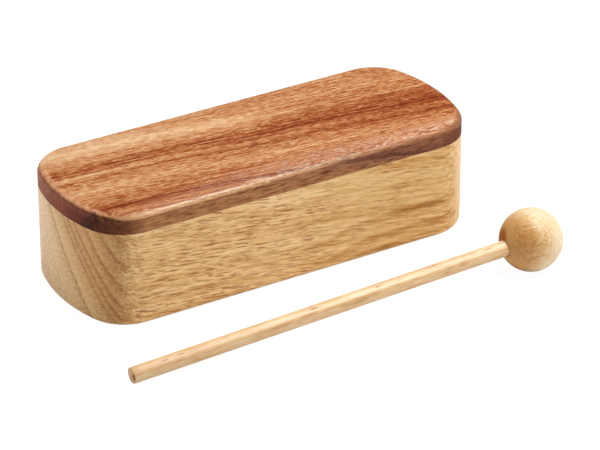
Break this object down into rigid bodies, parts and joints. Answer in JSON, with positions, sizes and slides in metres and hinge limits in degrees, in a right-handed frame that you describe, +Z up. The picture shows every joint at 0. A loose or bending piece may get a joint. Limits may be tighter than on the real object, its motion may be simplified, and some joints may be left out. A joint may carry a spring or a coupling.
{
  "type": "woodblock with beater",
  "caption": "Hollow wooden percussion block with bowed ends, a darker hardwood striking plate and a sound slot along the back, with its dowel beater and turned ball head lying in front.",
  "frame": {"origin": "centre of the block's flat underside, on the surface that it rests on", "axes": "+X along the block's length, towards the beater's head; +Y from the block's front to its slotted back; +Z up"},
  "size_m": [0.2388, 0.1509, 0.0612],
  "materials": {
    "body_wood": "pale open-pored hardwood under satin lacquer",
    "plate_wood": "red-brown striped hardwood under satin lacquer",
    "stick_wood": "cream dowel, sanded and sealed",
    "ball_wood": "honey-coloured turned wood, sanded and sealed"
  },
  "bodies": {
    "block": {"body": "body_wood", "top_plate": "plate_wood"},
    "beater": {"beater_stick": "stick_wood", "beater_head": "ball_wood"}
  },
  "joints": [
    {"name": "beater_lift", "type": "slide", "parent": "block", "child": "beater", "axis": [0, 0, 1], "range_m": [0, 0.15]}
  ]
}
